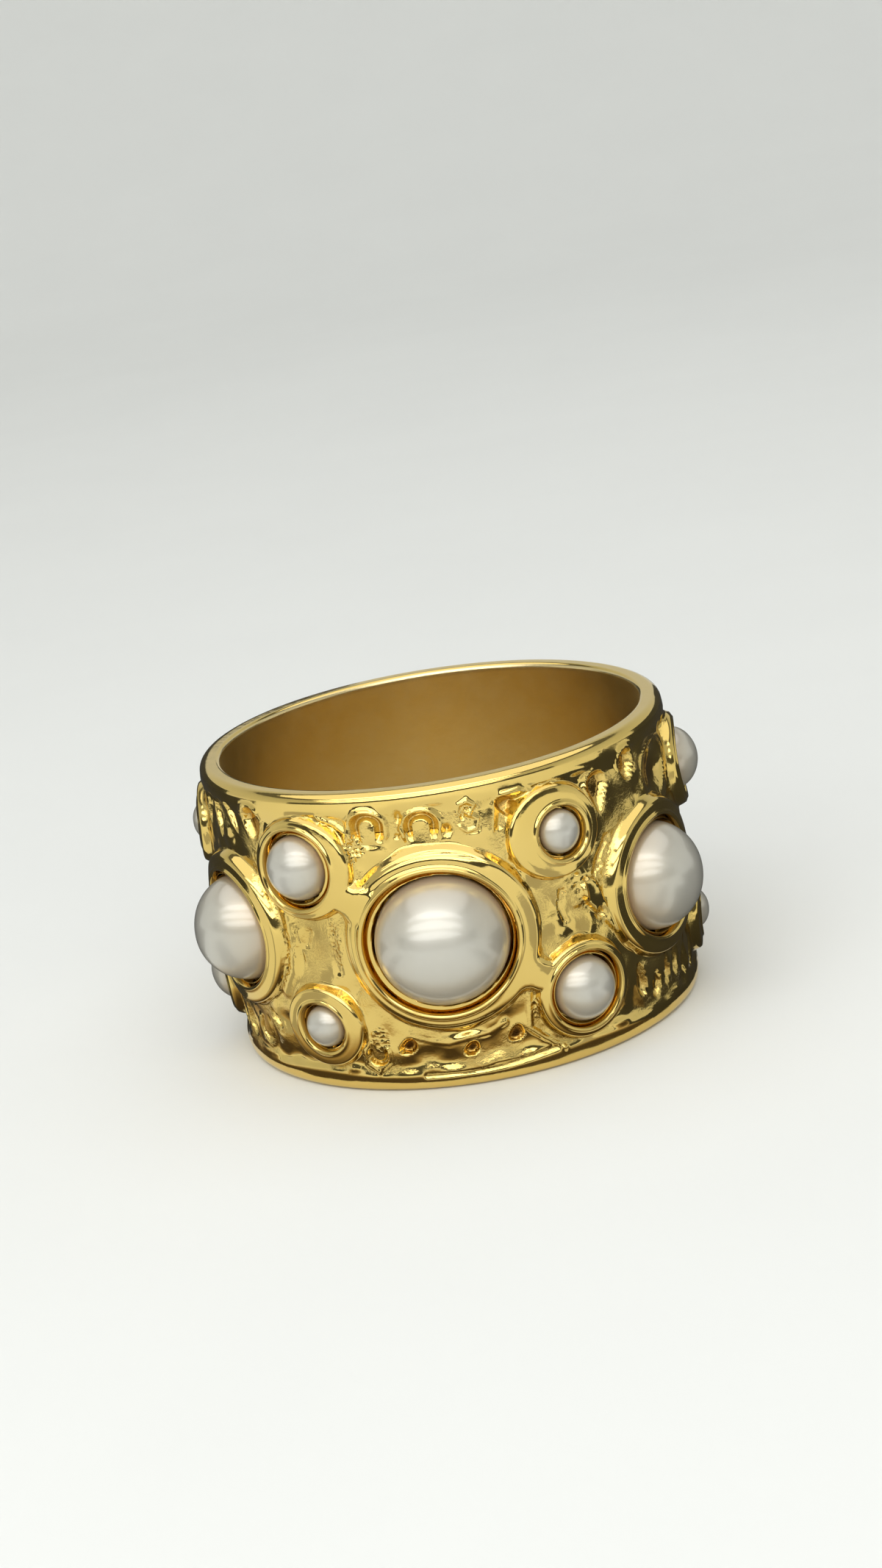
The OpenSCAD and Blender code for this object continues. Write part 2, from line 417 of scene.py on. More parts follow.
def scatter(i, j, kind):
    """A number from 0 to 1 that looks random, fixed for each cell."""
    step_i, step_j, step_kind = SCATTER_STEPS
    return np.modf(np.abs(np.sin(i * step_i + j * step_j + kind * step_kind) * SCATTER_SIZE))[0]


def hammer_marks(u, z):
    """Overlapping shallow dents and swells, one in each cell of a loose grid."""
    total = np.zeros_like(u)
    for step_u in (-1, 0, 1):
        for step_z in (-1, 0, 1):
            i = np.floor(u / HAMMER_CELL) + step_u
            j = np.floor(z / HAMMER_CELL) + step_z
            away_u = u - (i + HAMMER_MARGIN + HAMMER_SPAN * scatter(i, j, 1)) * HAMMER_CELL
            away_z = z - (j + HAMMER_MARGIN + HAMMER_SPAN * scatter(i, j, 2)) * HAMMER_CELL
            share = np.hypot(away_u, away_z) / HAMMER_R
            total += (2 * scatter(i, j, 3) - 1) * HAMMER_DEPTH * np.exp(-(share**2))
    return total


def hollow_depth(hollow, u, z):
    """Depth of a hollow, less its lip. One with a core is a horseshoe that opens away from the rim."""
    out = math.copysign(1, hollow.z) * (z - hollow.z)
    inwards = np.clip(-out / hollow.down, 0, 1)
    half_w = hollow.half_w * (1 - hollow.point * inwards)
    across = (u - plan_u(hollow.angle) - hollow.lean * out) / half_w
    if hollow.core > 0:
        rho = np.hypot(across, np.maximum(out, 0) / hollow.up)
        fade = smooth((1 - inwards) / ARM_FADE)
        bowl = smooth((1 - rho) / hollow.wall) * smooth((rho - hollow.core) / CORE_SLOPE) * fade
    else:
        rho = np.hypot(across, np.where(out > 0, out / hollow.up, out / hollow.down))
        fade = smooth(1 - inwards)
        bowl = smooth((1 - rho) / hollow.wall)
    lip = np.exp(-(((rho - 1) * hollow.half_w / PUSHED_W) ** 2)) * fade
    return hollow.depth * bowl - hollow.lip * lip


def line_distance(places, u, z):
    """Distance from a line drawn through (angle, height) places."""
    best = np.full(u.shape, np.inf)
    for (angle_a, z_a), (angle_b, z_b) in zip(places, places[1:]):
        u_a = plan_u(angle_a)
        run = plan_u(angle_b) - u_a
        rise = z_b - z_a
        t = np.clip(((u - u_a) * run + (z - z_a) * rise) / (run**2 + rise**2), 0, 1)
        best = np.minimum(best, np.hypot(u - u_a - t * run, z - z_a - t * rise))
    return best


def tongue_rise(tongue, u, z):
    """Height of a tongue, which narrows from its root to its tip."""
    root_u = plan_u(tongue.root[0])
    run = plan_u(tongue.tip[0]) - root_u
    rise = tongue.tip[1] - tongue.root[1]
    t = np.clip(((u - root_u) * run + (z - tongue.root[1]) * rise) / (run**2 + rise**2), 0, 1)
    away = np.hypot(u - root_u - t * run, z - tongue.root[1] - t * rise)
    return tongue.rise * smooth((tongue.half_w * (1 - t) - away) / tongue.edge + 0.5)


def oval(mark, u, z):
    """Distance from a dent's or patch's middle, as a share of its half sizes."""
    dz = z - mark.z
    return np.hypot((u - plan_u(mark.angle) - mark.lean * dz) / mark.half_u, dz / mark.half_z)


def relief(u, z):
    """Height that hollows, lines and dents add to the ground."""
    height = np.zeros_like(u)
    for hollow in HOLLOWS:
        height -= hollow_depth(hollow, u, z)
    for line in LINES:
        height += line.rise * np.exp(-((line_distance(line.places, u, z) / line.half_w) ** 2))
    for tongue in TONGUES:
        height += tongue_rise(tongue, u, z)
    for dent in DENTS:
        height -= dent.depth * np.exp(-(oval(dent, u, z) ** 2))
    return height


def worked_share(u):
    """1 over the worked front and sides, fading to 0 on the plain back."""
    return smooth((WORKED_END - np.abs(u) / PLAN_R) / WORKED_FADE)


def ground_level(u, z):
    """Distance of ground and rims from the axis, before the crown is added, and the soft waves in it."""
    high = np.abs(z)
    calm = smooth((CALM_Z - high) / CALM_FADE)
    wander = 0
    for size, count, phase, slant in RAMP_WANDER:
        wander = wander + size * np.sin(count * u / PLAN_R + phase + slant * z)
    ramp = (high - RAMP_FOOT_Z - wander) / RAMP_W * (RIM_R - GROUND_R)
    lifted = soft_max(ramp, 0 * ramp, RAMP_ROUND)
    level = GROUND_R + soft_min(lifted, 0 * ramp + RIM_R - GROUND_R, RAMP_ROUND)
    in_ground = smooth((RIM_R - GROUND_TOP_CLEAR - level) / GROUND_FADE)
    worked = worked_share(u)
    skin_share = BACK_WAVE_SHARE + (1 - BACK_WAVE_SHARE) * worked
    skin = SKIN_WAVE * wave_field(SKIN_WAVES, u, z) * calm * skin_share
    level = level + skin + GROUND_WAVE * wave_field(GROUND_WAVES, u, z) * in_ground * calm * worked
    drawn = relief(u, z)
    rough_share = in_ground * calm * worked * np.exp(-((drawn / DRAWN_KEEP) ** 2))
    return level + drawn * calm + hammer_marks(u, z) * rough_share, skin


def collar_level(u, z):
    """Distance of collars and webs from the axis, before the crown is added."""
    post = np.full(u.shape, BORE_R)
    for seat in SEATS:
        reach = collar_inside(seat, u, z)
        if seat is FRONT:
            for webbed in WEBBED:
                reach = soft_max(reach, web_inside(webbed, u, z), WEB_BLEND)
        drop = collar_drop(reach / seat.section, flat_share(seat, u, z))
        post = soft_max(post, COLLAR_R - drop, COLLAR_JOIN_ROUND)
    return post


def cut_seat(seat, level, u, z):
    """Adds a seat's lip and dish to the level, and cuts its hole with groove, bezel and floor."""
    out = hole_outside(seat, u, z)
    level = level + LIP_RISE * np.exp(-(((out - LIP_AT) / LIP_W) ** 2))
    dish = DISH_DEPTH * (1 - flat_share(seat, u, z))
    level = level - dish * np.exp(-(((out - DISH_AT) / DISH_W) ** 2))
    turn = (u - plan_u(seat.angle)) / PLAN_R
    floor = SEAT_FLOOR_R / np.cos(np.clip(turn, -FLOOR_TURN, FLOOR_TURN)) - crown(z)
    bezel = COLLAR_R - GROOVE_DROP + BEZEL_RISE * smooth((-out / seat.gap - BEZEL_FROM) / BEZEL_SLOPE)
    floor = floor + (bezel - floor) * smooth((pearl_outside(seat, u, z) - BEZEL_CLEAR) / BEZEL_EDGE_W)
    open_share = smooth((out + HOLE_WALL_W) / HOLE_WALL_W)
    return np.where(out < 0, floor + (level - floor) * open_share, level)


def outside(u, z):
    """Distance of the band's outside from the axis, over the plan."""
    ground, skin = ground_level(u, z)
    level = soft_max(ground, collar_level(u, z) + skin, COLLAR_FOOT_ROUND)
    for seat in SEATS:
        level = cut_seat(seat, level, u, z)
    return level + crown(z)


def place(angle, r, z):
    """Points in space, at angles in radians, distances from the axis, and heights."""
    return np.stack(np.broadcast_arrays(r * np.sin(angle), -r * np.cos(angle), z), -1)


def on_band(u, z):
    """Points of the outside, for places on the plan."""
    return place(u / PLAN_R, outside(u, z), z)


def band_normals(u, z):
    """Normals of the outside, from the slopes of its formula."""
    du = on_band(u + NORMAL_STEP, z) - on_band(u - NORMAL_STEP, z)
    dz = on_band(u, z + NORMAL_STEP) - on_band(u, z - NORMAL_STEP)
    normal = np.cross(du, dz)
    return normal / np.linalg.norm(normal, axis=-1, keepdims=True)


def hole_middle(seat):
    """Plan point in the middle of a seat's hole."""
    return np.array([plan_u(seat.angle) + seat.gap_u, seat.z + seat.gap_z])


def seat_rings(seat, steps, count):
    """Rings of plan points round a seat's hole. Each step is a distance outwards from the hole's edge."""
    turn = np.linspace(0, 2 * math.pi, count, endpoint=False)
    round_way = np.stack([np.cos(turn), np.sin(turn)], -1)
    half = np.array([seat.pearl_w / 2 + seat.gap, seat.pearl_h / 2 + seat.gap])
    return [hole_middle(seat) + (half + step) * round_way for step in steps]


# Rings that are laid as strips, from the seat's floor over the bezel and the wall to the lip
RING_STEPS = [-0.85, -0.52, -0.46, -0.4]
RING_STEPS += [-0.37, -0.34, -0.31, -0.28, -0.25, -0.23, -0.21, -0.19, -0.17, -0.155, -0.14, -0.125]
RING_STEPS += [-0.11, -0.09, -0.075, -0.068, -0.06, -0.05, -0.04, -0.03, -0.02, -0.01, 0.0]
RING_STEPS += [0.025, 0.05, 0.075, 0.1, 0.125, 0.15, 0.18, 0.22, 0.27, 0.32]
# A ring has a point for each such length of the pearl's outline, in fours, and this many more
RING_SPACING = 0.1
RING_EXTRA = 24
# Rings further out are loose points for the triangulation. They reach this far past the collar, and stay
# this far from the plan's edges
FREE_STEP = 0.07
FREE_REACH = 0.45
FREE_MARGIN = 0.05
# The open band has a dense grid up to this angle in degrees, and a sparse one behind
DENSE_END = 106
DENSE_COLUMNS = 260
SPARSE_COLUMNS = 26
DENSE_STEP = 0.1
DENSE_ROWS = 122
# Behind, rows lie closer beyond this height, where the rims begin
BACK_RIM_Z = 4.9
BACK_RIM_ROWS = 12
BACK_MIDDLE_ROWS = 20
# Points along the plan's seam, at the middle of the back
SEAM_POINTS = 43
# The triangulation keeps what lies inside the outline, and takes points nearer than the second for one
INSIDE_ONLY = 1
SAME_POINT = 1e-7
# The drawn shapes near the rims, within this reach round the band and these heights, get a finer grid
DRAWN_END_U = 5.2
DRAWN_Z = (3.6, 5.9)
DRAWN_STEP = 0.065

# Points along the rim's round corner and the bore's, and the ease at both ends of the flat edge face
RIM_CORNER_STEPS = 9
BORE_CORNER_STEPS = 6
FACE_EASE = 0.04
# Heights of the rows of points in the bore's upper half
BORE_ROWS = [6.1, 3.0]
# Points nearer than this are joined. The shift keeps round numbers off the limits of its rounding
JOIN_STEP = 1e-4
JOIN_SHIFT = 0.31


class Sheet:
    """Collects plan points and triangles of the band's outside."""

    def __init__(self):
        self.points = []
        self.faces = []
        self.size = 0

    def add_points(self, points):
        first = self.size
        self.points.append(np.asarray(points, float))
        self.size += len(points)
        return np.arange(first, self.size)

    def add_strip(self, inner, outer):
        """Joins two closed rings of the same count, seen anticlockwise."""
        inner_next = np.roll(inner, -1)
        outer_next = np.roll(outer, -1)
        self.faces.append(np.stack([inner, outer, outer_next], -1))
        self.faces.append(np.stack([inner, outer_next, inner_next], -1))


def ring_count(seat):
    """Number of points in each of a seat's rings."""
    return int(round(math.pi * seat.pearl_w / RING_SPACING / 4)) * 4 + RING_EXTRA


def grid(columns, rows):
    """Plan points where columns and rows cross."""
    wide_u, wide_z = np.meshgrid(columns, rows)
    return np.stack([wide_u.ravel(), wide_z.ravel()], -1)


def grid_points():
    """Plan points of the open band: dense round the front and sparse behind."""
    top = edge_z()
    dense_end = plan_u(DENSE_END)
    dense_u = np.linspace(-dense_end, dense_end, DENSE_COLUMNS)
    sparse_u = np.linspace(dense_end, PLAN_END, SPARSE_COLUMNS)[1:]
    columns = np.concatenate([-sparse_u[::-1], dense_u, sparse_u])

    fine_u = np.arange(-dense_end + DENSE_STEP / 2, dense_end, DENSE_STEP)
    open_grid = grid(fine_u, np.linspace(-top, top, DENSE_ROWS)[1:-1])
    drawn_u = np.arange(-DRAWN_END_U, DRAWN_END_U, DRAWN_STEP)
    low, high = DRAWN_Z
    away_u, away_z = np.abs(open_grid).T
    drawn = (away_u < DRAWN_END_U) & (away_z > low) & (away_z < high)
    points = [grid(drawn_u, sign * np.arange(low, high, DRAWN_STEP)) for sign in (-1, 1)]
    points.append(open_grid[~drawn])

    lower_rows = np.linspace(-top, -BACK_RIM_Z, BACK_RIM_ROWS)
    middle_rows = np.linspace(-BACK_RIM_Z, BACK_RIM_Z, BACK_MIDDLE_ROWS)[1:-1]
    upper_rows = np.linspace(BACK_RIM_Z, top, BACK_RIM_ROWS)
    back_rows = np.concatenate([lower_rows, middle_rows, upper_rows])
    for part in (sparse_u, -sparse_u):
        points.append(grid(part, back_rows[1:-1]))
    return columns, np.concatenate(points)


def edge_z():
    """Height at which the outside turns into the round corner of the rim."""
    return HALF_W - RIM_ROUND + RIM_ROUND * math.sin(corner_lean())


def corner_lean():
    """Angle by which the crowned outside already leans when it meets the corner."""
    return math.asin((HALF_W - RIM_ROUND) / CROWN_ARC_R)


def nearest_seat(points, reach):
    """For each plan point, the seat whose reach holds it best, or -1."""
    best = np.full(len(points), -1)
    best_share = np.ones(len(points))
    for index, seat in enumerate(SEATS):
        away = np.hypot(points[:, 0] - plan_u(seat.angle), points[:, 1] - seat.z)
        share = away / reach[index]
        closer = share < best_share
        best[closer] = index
        best_share[closer] = share[closer]
    return best


def build_plan():
    """Points and triangles of the whole outside, over the plan."""
    sheet = Sheet()
    top = edge_z()
    reach = [max(seat.collar_w, seat.collar_h) / 2 + FREE_REACH for seat in SEATS]
    loose = []
    loops = []
    for index, seat in enumerate(SEATS):
        count = ring_count(seat)
        rings = [sheet.add_points(ring) for ring in seat_rings(seat, RING_STEPS, count)]
        for inner, outer in zip(rings, rings[1:]):
            sheet.add_strip(inner, outer)
        middle = sheet.add_points([hole_middle(seat)])
        inner = rings[0]
        sheet.faces.append(np.stack([np.full(count, middle[0]), inner, np.roll(inner, -1)], -1))
        loops.append(rings[-1])
        far = reach[index] - seat.pearl_w / 2 - seat.gap
        steps = np.arange(RING_STEPS[-1] + FREE_STEP, far, FREE_STEP)
        for ring in seat_rings(seat, steps, count):
            keep = (nearest_seat(ring, reach) == index) & (np.abs(ring[:, 1]) < top - FREE_MARGIN)
            loose.append(ring[keep])

    columns, open_points = grid_points()
    loose.append(open_points[nearest_seat(open_points, reach) == -1])
    edge_rows = []
    for z in (-top, top):
        edge_rows.append(sheet.add_points(np.stack([columns, np.full(len(columns), z)], -1)))
    seam_z = np.linspace(-top, top, SEAM_POINTS)[1:-1]
    sides = [sheet.add_points(grid([end], seam_z)) for end in (-PLAN_END, PLAN_END)]
    free = sheet.add_points(np.concatenate(loose))

    # Only the last ring of each seat, the outline and the free points are triangulated
    used = np.concatenate([*loops, *edge_rows, *sides, free])
    all_points = np.concatenate(sheet.points)
    number = {old: new for new, old in enumerate(used)}
    outline = np.concatenate([edge_rows[0], sides[1], edge_rows[1][::-1], sides[0][::-1]])
    edges = []
    for loop in [*loops, outline]:
        edges += [(number[a], number[b]) for a, b in zip(loop, np.roll(loop, -1))]
    result = delaunay_2d_cdt([Vector(p) for p in all_points[used]], edges, [], INSIDE_ONLY, SAME_POINT)
    origin = [ids[0] if ids else None for ids in result[3]]
    triangles = np.array([[used[origin[v]] for v in face] for face in result[2]])

    # Strips already fill each seat's last ring, so a triangle with all its corners on one ring is dropped
    keep = np.ones(len(triangles), bool)
    for loop in loops:
        keep &= ~np.isin(triangles, loop).all(1)
    sheet.faces.append(triangles[keep])
    return all_points, np.concatenate(sheet.faces), edge_rows, columns


def edge_section():
    """The band's section from the upper edge of the outside, over the edge face and through the bore."""
    lean = corner_lean()
    top = edge_z()
    corner_r = float(RIM_R + crown(top)) - RIM_ROUND * math.cos(lean)
    half = []
    for angle in np.linspace(lean, math.pi / 2, RIM_CORNER_STEPS)[1:]:
        z = HALF_W - RIM_ROUND + RIM_ROUND * math.sin(angle)
        half.append((corner_r + RIM_ROUND * math.cos(angle), z))
    bore_corner = BORE_R + BORE_ROUND
    half += [(corner_r - FACE_EASE, HALF_W), (bore_corner + FACE_EASE, HALF_W)]
    for angle in np.linspace(math.pi / 2, math.pi, BORE_CORNER_STEPS):
        z = HALF_W - BORE_ROUND + BORE_ROUND * math.sin(angle)
        half.append((bore_corner + BORE_ROUND * math.cos(angle), z))
    half += [(BORE_R, z) for z in BORE_ROWS]
    return half + [(BORE_R, 0.0)] + [(r, -z) for r, z in reversed(half)]


def merge_points(points, faces):
    """Joins points that lie in one place, and drops faces that this closes up."""
    keys = np.round(points / JOIN_STEP + JOIN_SHIFT).astype(np.int64)
    _, first, inverse = np.unique(keys, axis=0, return_index=True, return_inverse=True)
    faces = [[int(inverse.ravel()[v]) for v in face] for face in faces]
    return first, [face for face in faces if len(set(face)) == len(face)]


def quads(rows):
    """Faces between rows of point numbers, with each row joined to the next."""
    faces = []
    for upper, lower in zip(rows, rows[1:]):
        faces += np.stack([upper[:-1], upper[1:], lower[1:], lower[:-1]], -1).tolist()
    return faces


def make_object(name, points, faces):
    """A smooth mesh object from points in millimetres."""
    mesh = bpy.data.meshes.new(name)
    mesh.from_pydata((np.asarray(points) * MM).tolist(), [], faces)
    mesh.update()
    mesh.shade_smooth()
    thing = bpy.data.objects.new(name, mesh)
    bpy.context.scene.collection.objects.link(thing)
    return thing


def build_band():
    """The cast band: worked outside, edge faces and bore, with the masks that its finish needs."""
    plan, faces, edge_rows, columns = build_plan()
    u, z = plan.T
    points = on_band(u, z)
    normals = band_normals(u, z)
    # One of these masks holds painted shade for the hollows and for the grooves round the pearls
    masks = {"ground": ground_share(u, z), "pebble": pebble_share(u, z), "recess_shade": recess_shade_share(u, z)}

    # The edge faces and the bore are turned round the axis, one row for each point of the section
    turn = columns / PLAN_R
    section = edge_section()
    count = len(section) * len(turn)
    numbers = np.arange(len(plan), len(plan) + count).reshape(len(section), len(turn))
    faces = faces.tolist() + quads([edge_rows[1], *numbers, edge_rows[0]])
    points = np.concatenate([points, *(place(turn, r, height) for r, height in section)])
    normals = np.concatenate([normals, np.zeros((count, 3))])

    kept, faces = merge_points(points, faces)
    band = make_object("band_cast", points[kept], faces)
    band.data.normals_split_custom_set_from_vertices(normals[kept].tolist())
    for name, mask in masks.items():
        set_mask(band, name, np.concatenate([mask, np.zeros(count)])[kept])
    bore = np.repeat([r < BORE_R + BORE_ROUND / 4 for r, _ in section], len(turn))
    set_mask(band, "bore", np.concatenate([np.zeros(len(plan)), bore])[kept])
    return band


def set_mask(thing, name, values):
    """Stores one value for each point of a mesh, for its material to read."""
    layer = thing.data.attributes.new(name, "FLOAT", "POINT")
    layer.data.foreach_set("value", values.astype(np.float32))


def ground_share(u, z):
    """1 in the worked ground, fading to 0 on collars, rims and the plain back."""
    height = outside(u, z) - crown(z)
    low = smooth((GROUND_R + MASK_TOP - height) / MASK_TOP_FADE)
    return low * (np.abs(z) < MASK_END_Z) * worked_share(u)


def pebble_share(u, z):
    """1 in the middle of the pebbled patches, fading to 0 at their outlines."""
    best = np.zeros_like(u)
    for patch in PATCHES:
        best = np.maximum(best, smooth((1 - oval(patch, u, z)) / PATCH_FADE))
    return best * ground_share(u, z)


def recess_shade_share(u, z):
    """Share of painted shade: 1 in the deepest hollows and part of that in the grooves round the pearls,
    fading to 0 elsewhere.
    """
    best = smooth((-relief(u, z) - DARK_FROM) / DARK_SPAN) * ground_share(u, z)
    for seat in SEATS:
        into = -hole_outside(seat, u, z)
        start = smooth((into - GAP_DARK_FROM) / GAP_DARK_FADE)
        end = smooth((GAP_DARK_END - into / seat.gap) / GAP_DARK_END_FADE)
        best = np.maximum(best, GAP_SHADE * start * end)
    return best


def seat_matrix(seat, distance):
    """Places a piece on a seat: its X runs round the band, its Y along the axis and its Z outwards."""
    angle = math.radians(seat.angle)
    out = Vector((math.sin(angle), -math.cos(angle), 0))
    round_way = Vector((math.cos(angle), math.sin(angle), 0))
    basis = Matrix((round_way, Vector((0, 0, 1)), out)).transposed().to_4x4()
    return Matrix.Translation((out * distance + Vector((0, 0, seat.z))) * MM) @ basis


def pearl_profile(dome, depth, steps):
    """A pearl's section from its top to its flat back, as (share of the half width, height)."""
    over = [(math.sin(a), dome * math.cos(a)) for a in np.linspace(0, math.pi / 2, steps)[1:]]
    reach = depth * UNDER_OVAL
    end = math.asin(1 / UNDER_OVAL)
    under = [(math.cos(a), -reach * math.sin(a)) for a in np.linspace(0, end, UNDER_STEPS)[1:]]
    rim = under[-1][0]
    back = [(rim - step, -depth) for step in BACK_STEPS]
    return over + under + back + [(rim * 0.5, -depth)]


def build_pearl(seat, seed):
    """A slightly irregular dome with a flat back, as tall and wide as the seat says."""
    middle_r = COLLAR_R + float(crown(np.array(seat.z))) - seat.sink
    depth = middle_r - PEARL_BACK_R
    count = PEARL_COLUMNS + int(seat.pearl_w * COLUMNS_BY_WIDTH)
    steps = PEARL_ROWS + int(seat.pearl_w * ROWS_BY_WIDTH)
    phases = np.random.default_rng(seed).uniform(0, 2 * math.pi, 3)
    turn = np.linspace(0, 2 * math.pi, count, endpoint=False)
    wobble = 1 + OVAL_WOBBLE * np.sin(2 * turn + phases[0]) + CORNER_WOBBLE * np.sin(3 * turn + phases[1])
    ripple = DOME_RIPPLE * seat.pearl_w * np.sin(2 * turn + phases[2])
    points = [(0, 0, seat.dome)]
    faces = []
    row = []
    for share, height in pearl_profile(seat.dome, depth, steps):
        x = share * seat.pearl_w / 2 * np.cos(turn) * wobble
        y = share * seat.pearl_h / 2 * np.sin(turn) * wobble
        lift = ripple * math.sin(math.pi * min(share, 1)) * (height > 0)
        above = row
        row = list(range(len(points), len(points) + count))
        points += np.stack([x, y, height + lift], -1).tolist()
        for i in range(count):
            j = (i + 1) % count
            faces.append([above[i], row[i], row[j], above[j]] if above else [0, row[i], row[j]])
    points.append((0, 0, -depth))
    faces += [[len(points) - 1, row[(i + 1) % count], row[i]] for i in range(count)]
    pearl = make_object(seat.name + "_dome", points, faces)
    set_mask(pearl, "rise", np.array(points)[:, 2] / seat.dome)
    pearl.matrix_world = seat_matrix(seat, middle_r)
    return pearl


# Gold tones: outside, finger hole, and painted shade in grooves and pits. Each drifts between two colours
OUTER_TONES = [(0.3, (0.78, 0.565, 0.165)), (0.7, (0.82, 0.6, 0.192))]
BORE_TONES = [(0.3, (0.85, 0.68, 0.35)), (0.7, (0.87, 0.71, 0.39))]
GROOVE_SHADE_TONES = [(0.3, (0.44, 0.23, 0.045)), (0.7, (0.50, 0.28, 0.06))]
PIT_SHADE_TONES = [(0.3, (0.07, 0.035, 0.01)), (0.7, (0.10, 0.05, 0.015))]
# Pearl tones, from the dome's warm foot, which is painted bounce light and shade from the gold collar, to its
# cooler top
PEARL_TONES_WITH_PAINTED_FOOT = [
    (0.0, (0.62, 0.44, 0.25)),
    (0.12, (0.56, 0.45, 0.315)),
    (0.4, (0.52, 0.465, 0.365)),
    (0.78, (0.53, 0.505, 0.43)),
    (1.0, (0.54, 0.52, 0.455)),
]
# Extra roughness of the satin patches and of the finger hole
SATIN_ROUGH = 0.14
BORE_ROUGH = 0.15


class Finish:
    """A procedural material in the making, over the piece's own coordinates, in metres."""

    def __init__(self, name):
        self.material = bpy.data.materials.new(name)
        self.material.use_nodes = True
        self.tree = self.material.node_tree
        self.shader = self.tree.nodes["Principled BSDF"]
        self.where = self.tree.nodes.new("ShaderNodeTexCoord").outputs["Object"]

    def join(self, socket, value):
        """Sets a socket to a value, or joins it to another node's socket."""
        if isinstance(value, bpy.types.NodeSocket):
            self.tree.links.new(value, socket)
        else:
            socket.default_value = value

    def fill(self, node, sockets):
        """Fills a node's named sockets. A name has _ where the socket has a space."""
        for name, value in sockets.items():
            self.join(node.inputs[name.replace("_", " ")], value)
        return node

    def node(self, kind, **sockets):
        return self.fill(self.tree.nodes.new("ShaderNode" + kind), sockets)

    def surface(self, **sockets):
        self.fill(self.shader, sockets)

    def mask(self, name):
        """A value that the mesh stores for each point."""
        node = self.node("Attribute")
        node.attribute_name = name
        return node.outputs["Fac"]

    def noise(self, scale, detail, rough=0.5):
        """Cloudy noise from 0 to 1."""
        node = self.node("TexNoise", Vector=self.where, Scale=scale, Detail=detail, Roughness=rough)
        return node.outputs["Fac"]

    def remap(self, value, low, high, to_low=0.0, to_high=1.0):
        """Stretches a range of values to another, and holds it at both ends."""
        node = self.node("MapRange", Value=value, From_Min=low, From_Max=high, To_Min=to_low, To_Max=to_high)
        return node.outputs["Result"]

    def combine(self, kind, a, b):
        node = self.node("Math")
        node.operation = kind
        self.join(node.inputs[0], a)
        self.join(node.inputs[1], b)
        return node.outputs[0]

    def plus(self, a, b):
        return self.combine("ADD", a, b)

    def times(self, a, b):
        return self.combine("MULTIPLY", a, b)

    def ramp(self, value, stops):
        """A colour that runs through (place, colour) stops."""
        node = self.node("ValToRGB", Fac=value)
        elements = node.color_ramp.elements
        elements[0].position, elements[0].color = stops[0][0], (*stops[0][1], 1)
        elements[1].position, elements[1].color = stops[-1][0], (*stops[-1][1], 1)
        for place, color in stops[1:-1]:
            elements.new(place).color = (*color, 1)
        return node.outputs["Color"]

    def mix(self, share, a, b):
        """Colour a, turning into b as the share rises."""
        node = self.tree.nodes.new("ShaderNodeMix")
        node.data_type = "RGBA"
        self.join(node.inputs["Factor"], share)
        self.join(node.inputs[6], a)
        self.join(node.inputs[7], b)
        return node.outputs[2]

    def bump(self, height, strength, distance, **normal):
        node = self.node("Bump", Height=height, Strength=strength, Distance=distance, **normal)
        return node.outputs["Normal"]


def gold_material():
    """Polished gold plate, with shade painted into pits and grooves, and satin in the bore and parts of the
    ground.
    """
    finish = Finish("polished_gold")
    ground = finish.mask("ground")
    bore = finish.mask("bore")
    recess_shade = finish.mask("recess_shade")

    # Colour drifts a little, as plating does, and is paler in the finger hole
    drift = finish.noise(scale=260, detail=2)
    outer = finish.ramp(drift, OUTER_TONES)
    # Painted shade: amber in the grooves round the pearls, and near black in the deepest pits
    outer = finish.mix(finish.remap(recess_shade, 0.0, 0.6), outer, finish.ramp(drift, GROOVE_SHADE_TONES))
    outer = finish.mix(finish.remap(recess_shade, 0.65, 1.0), outer, finish.ramp(drift, PIT_SHADE_TONES))
    finish.surface(Base_Color=finish.mix(bore, outer, finish.ramp(drift, BORE_TONES)), Metallic=1.0)

    # The ground is satin in patches, the finger hole is satin, and the rest is polished
    satin = finish.times(finish.remap(finish.noise(scale=620, detail=3), 0.42, 0.6), ground)
    smudges = finish.remap(finish.noise(scale=900, detail=4, rough=0.6), 0.3, 0.7, 0.05, 0.11)
    rough = finish.plus(smudges, finish.times(satin, SATIN_ROUGH))
    finish.surface(Roughness=finish.plus(rough, finish.times(bore, BORE_ROUGH)))

    # Pebbled patches, fine grain in the satin, and a faint skin all over
    cells = finish.node("TexVoronoi", Vector=finish.where, Scale=5200)
    pebbles = finish.times(cells.outputs["Distance"], finish.mask("pebble"))
    pebbled = finish.bump(pebbles, strength=0.8, distance=0.00008)
    grain = finish.times(finish.noise(scale=9000, detail=3, rough=0.6), satin)
    grained = finish.bump(grain, strength=0.5, distance=0.00005, Normal=pebbled)
    skin = finish.noise(scale=2600, detail=3)
    finish.surface(Normal=finish.bump(skin, strength=0.08, distance=0.00004, Normal=grained))
    return finish.material


def pearl_material():
    """Cream pearl coating: a soft metallic lustre under a clear gloss, with a faint ripple."""
    finish = Finish("pearl_lustre")
    cloud = finish.remap(finish.noise(scale=420, detail=3, rough=0.55), 0.3, 0.7, -0.1, 0.1)
    height = finish.plus(finish.mask("rise"), cloud)
    # The base colour warms towards the dome's foot: painted bounce light and shade from the gold collar
    finish.surface(Base_Color=finish.ramp(height, PEARL_TONES_WITH_PAINTED_FOOT), Metallic=0.5, Roughness=0.38)
    finish.surface(Coat_Weight=1.0, Coat_Roughness=0.14, Coat_IOR=1.6)
    ripple = finish.noise(scale=700, detail=2)
    finish.surface(Normal=finish.bump(ripple, strength=0.06, distance=0.0001))
    return finish.material


